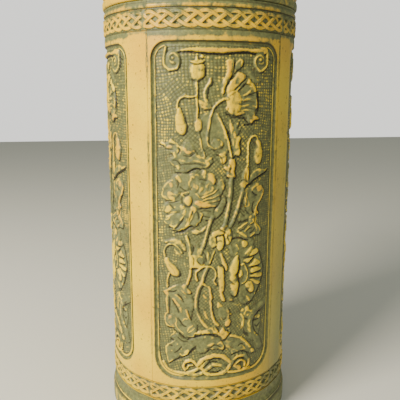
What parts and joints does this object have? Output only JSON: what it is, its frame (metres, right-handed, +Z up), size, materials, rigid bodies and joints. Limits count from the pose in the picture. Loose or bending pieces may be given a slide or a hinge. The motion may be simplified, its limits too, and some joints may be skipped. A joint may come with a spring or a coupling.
{
  "type": "umbrella stand",
  "caption": "Tall glazed earthenware umbrella stand with bowed faces, flat corner pilasters, braided bands and raised poppy panels.",
  "frame": {"origin": "middle of the foot's underside, on the floor", "axes": "+Z up along the pot's axis, -Y towards the front face, +X to its right as seen from the front"},
  "size_m": [0.2442, 0.2442, 0.5523],
  "materials": {
    "cream_glaze": "satin cream-yellow glaze with fine crazing",
    "olive_glaze": "semi-matt olive-grey wash, wiped off the raised parts",
    "bare_clay": "matt unglazed buff clay"
  },
  "bodies": {
    "root": {"foot_ring": "olive_glaze", "floor_slab": "bare_clay", "wall_front": "cream_glaze", "wall_right": "cream_glaze", "wall_back": "cream_glaze", "wall_left": "cream_glaze", "poppy_panel_front": "olive_glaze", "poppy_panel_right": "olive_glaze", "poppy_panel_back": "olive_glaze", "poppy_panel_left": "olive_glaze", "rim_ring": "cream_glaze"}
  },
  "joints": []
}
